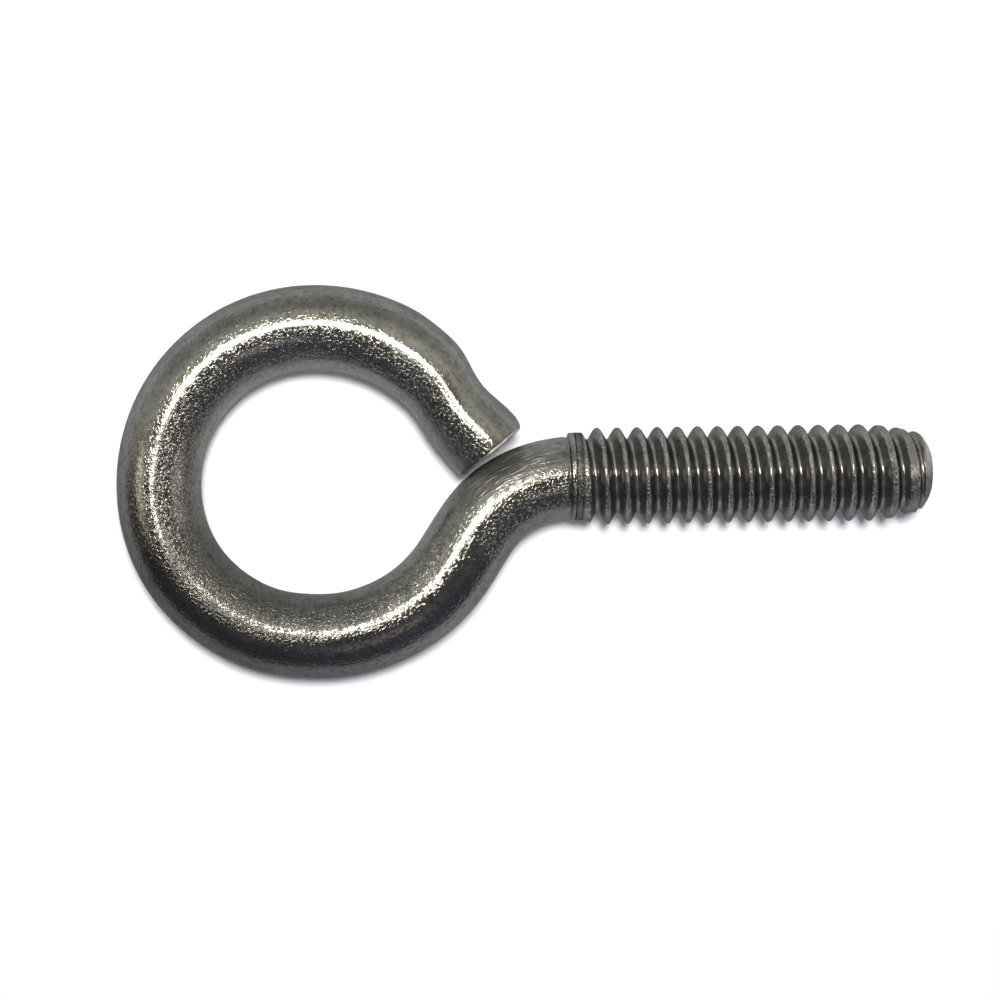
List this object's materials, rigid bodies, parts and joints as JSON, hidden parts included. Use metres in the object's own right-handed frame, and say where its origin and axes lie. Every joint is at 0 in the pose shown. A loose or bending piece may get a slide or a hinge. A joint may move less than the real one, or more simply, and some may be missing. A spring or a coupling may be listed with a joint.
{
  "type": "eye bolt",
  "caption": "Eye bolt bent from one steel rod: a round eye closed against its neck but not welded, and a threaded shank with a bevelled tip.",
  "frame": {"origin": "the centre of the eye, on the middle plane of the rod", "axes": "+X along the shank towards its tip, +Z square to the flat of the eye; the part lies flat on the eye and the thread"},
  "size_m": [0.0516, 0.025, 0.0062],
  "materials": {
    "steel": "dull bare-looking steel with fine glitter, darker in the thread, scuffed at the neck"
  },
  "bodies": {
    "root": {"eye_bolt": "steel"}
  },
  "joints": []
}
